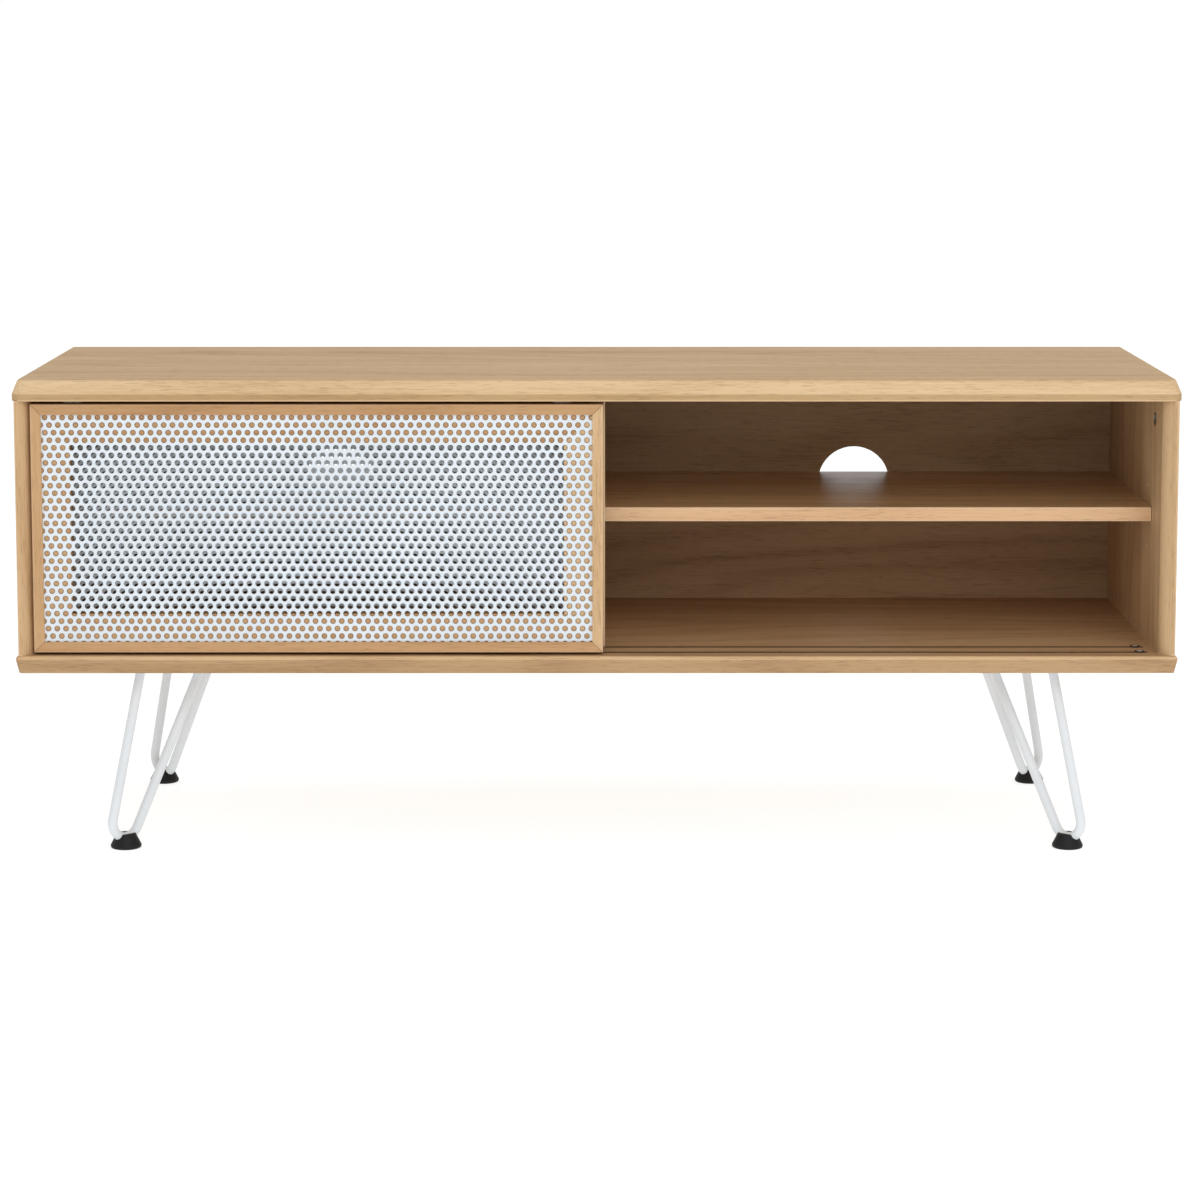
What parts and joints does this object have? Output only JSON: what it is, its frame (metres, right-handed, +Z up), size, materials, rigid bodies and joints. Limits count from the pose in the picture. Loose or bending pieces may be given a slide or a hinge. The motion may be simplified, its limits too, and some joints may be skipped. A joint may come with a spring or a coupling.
{
  "type": "media cabinet",
  "caption": "Low oak media cabinet with two sliding perforated metal doors, a shelf in each bay and bent-rod legs.",
  "frame": {"origin": "on the floor, under the middle of the cabinet", "axes": "+X to the right as seen from the front, +Y from the front to the back, +Z up"},
  "size_m": [1.194, 0.394, 0.492],
  "materials": {
    "oak_case": "satin oak veneer, straight grain",
    "oak_door": "satin oak, mitred rails",
    "white_mesh": "smooth white powder coat on punched steel sheet",
    "white_steel": "satin white powder coat on bent steel rod",
    "black_rubber": "matt black moulded rubber",
    "beech": "plain beech",
    "nylon": "natural moulded nylon",
    "brown_plastic": "dark brown moulded track",
    "zinc": "bright zinc plate"
  },
  "bodies": {
    "cabinet": {"back_panel": "oak_case", "back_screws": "zinc", "bottom_dowels": "beech", "bottom_panel": "oak_case", "cam_bolts": "zinc", "cam_locks": "zinc", "centre_divider": "oak_case", "foot_front_left": "black_rubber", "foot_front_right": "black_rubber", "foot_rear_left": "black_rubber", "foot_rear_right": "black_rubber", "leg_plate_front_left": "white_steel", "leg_plate_front_right": "white_steel", "leg_plate_rear_left": "white_steel", "leg_plate_rear_right": "white_steel", "leg_rod_front_left": "white_steel", "leg_rod_front_right": "white_steel", "leg_rod_rear_left": "white_steel", "leg_rod_rear_right": "white_steel", "leg_screws": "zinc", "lower_track_front": "brown_plastic", "lower_track_rear": "brown_plastic", "lower_track_stops": "brown_plastic", "panel_screws": "zinc", "shelf_left": "oak_case", "shelf_pins": "zinc", "shelf_right": "oak_case", "side_panel_left": "oak_case", "side_panel_right": "oak_case", "top_dowels": "beech", "top_panel": "oak_case", "track_screws": "zinc", "upper_track_front": "brown_plastic", "upper_track_rear": "brown_plastic", "upper_track_stops": "brown_plastic"},
    "front_door": {"front_door_bottom_rail": "oak_door", "front_door_glide_screws": "zinc", "front_door_glides": "nylon", "front_door_guides": "nylon", "front_door_left_stile": "oak_door", "front_door_mesh": "white_mesh", "front_door_mitre_dowels": "beech", "front_door_right_stile": "oak_door", "front_door_top_rail": "oak_door"},
    "rear_door": {"rear_door_bottom_rail": "oak_door", "rear_door_glide_screws": "zinc", "rear_door_glides": "nylon", "rear_door_guides": "nylon", "rear_door_left_stile": "oak_door", "rear_door_mesh": "white_mesh", "rear_door_mitre_dowels": "beech", "rear_door_right_stile": "oak_door", "rear_door_top_rail": "oak_door"}
  },
  "joints": [
    {"name": "front_door_slide", "type": "slide", "parent": "cabinet", "child": "front_door", "axis": [1, 0, 0], "range_m": [0, 0.572]},
    {"name": "rear_door_slide", "type": "slide", "parent": "cabinet", "child": "rear_door", "axis": [1, 0, 0], "range_m": [-0.002, 0.57]}
  ]
}
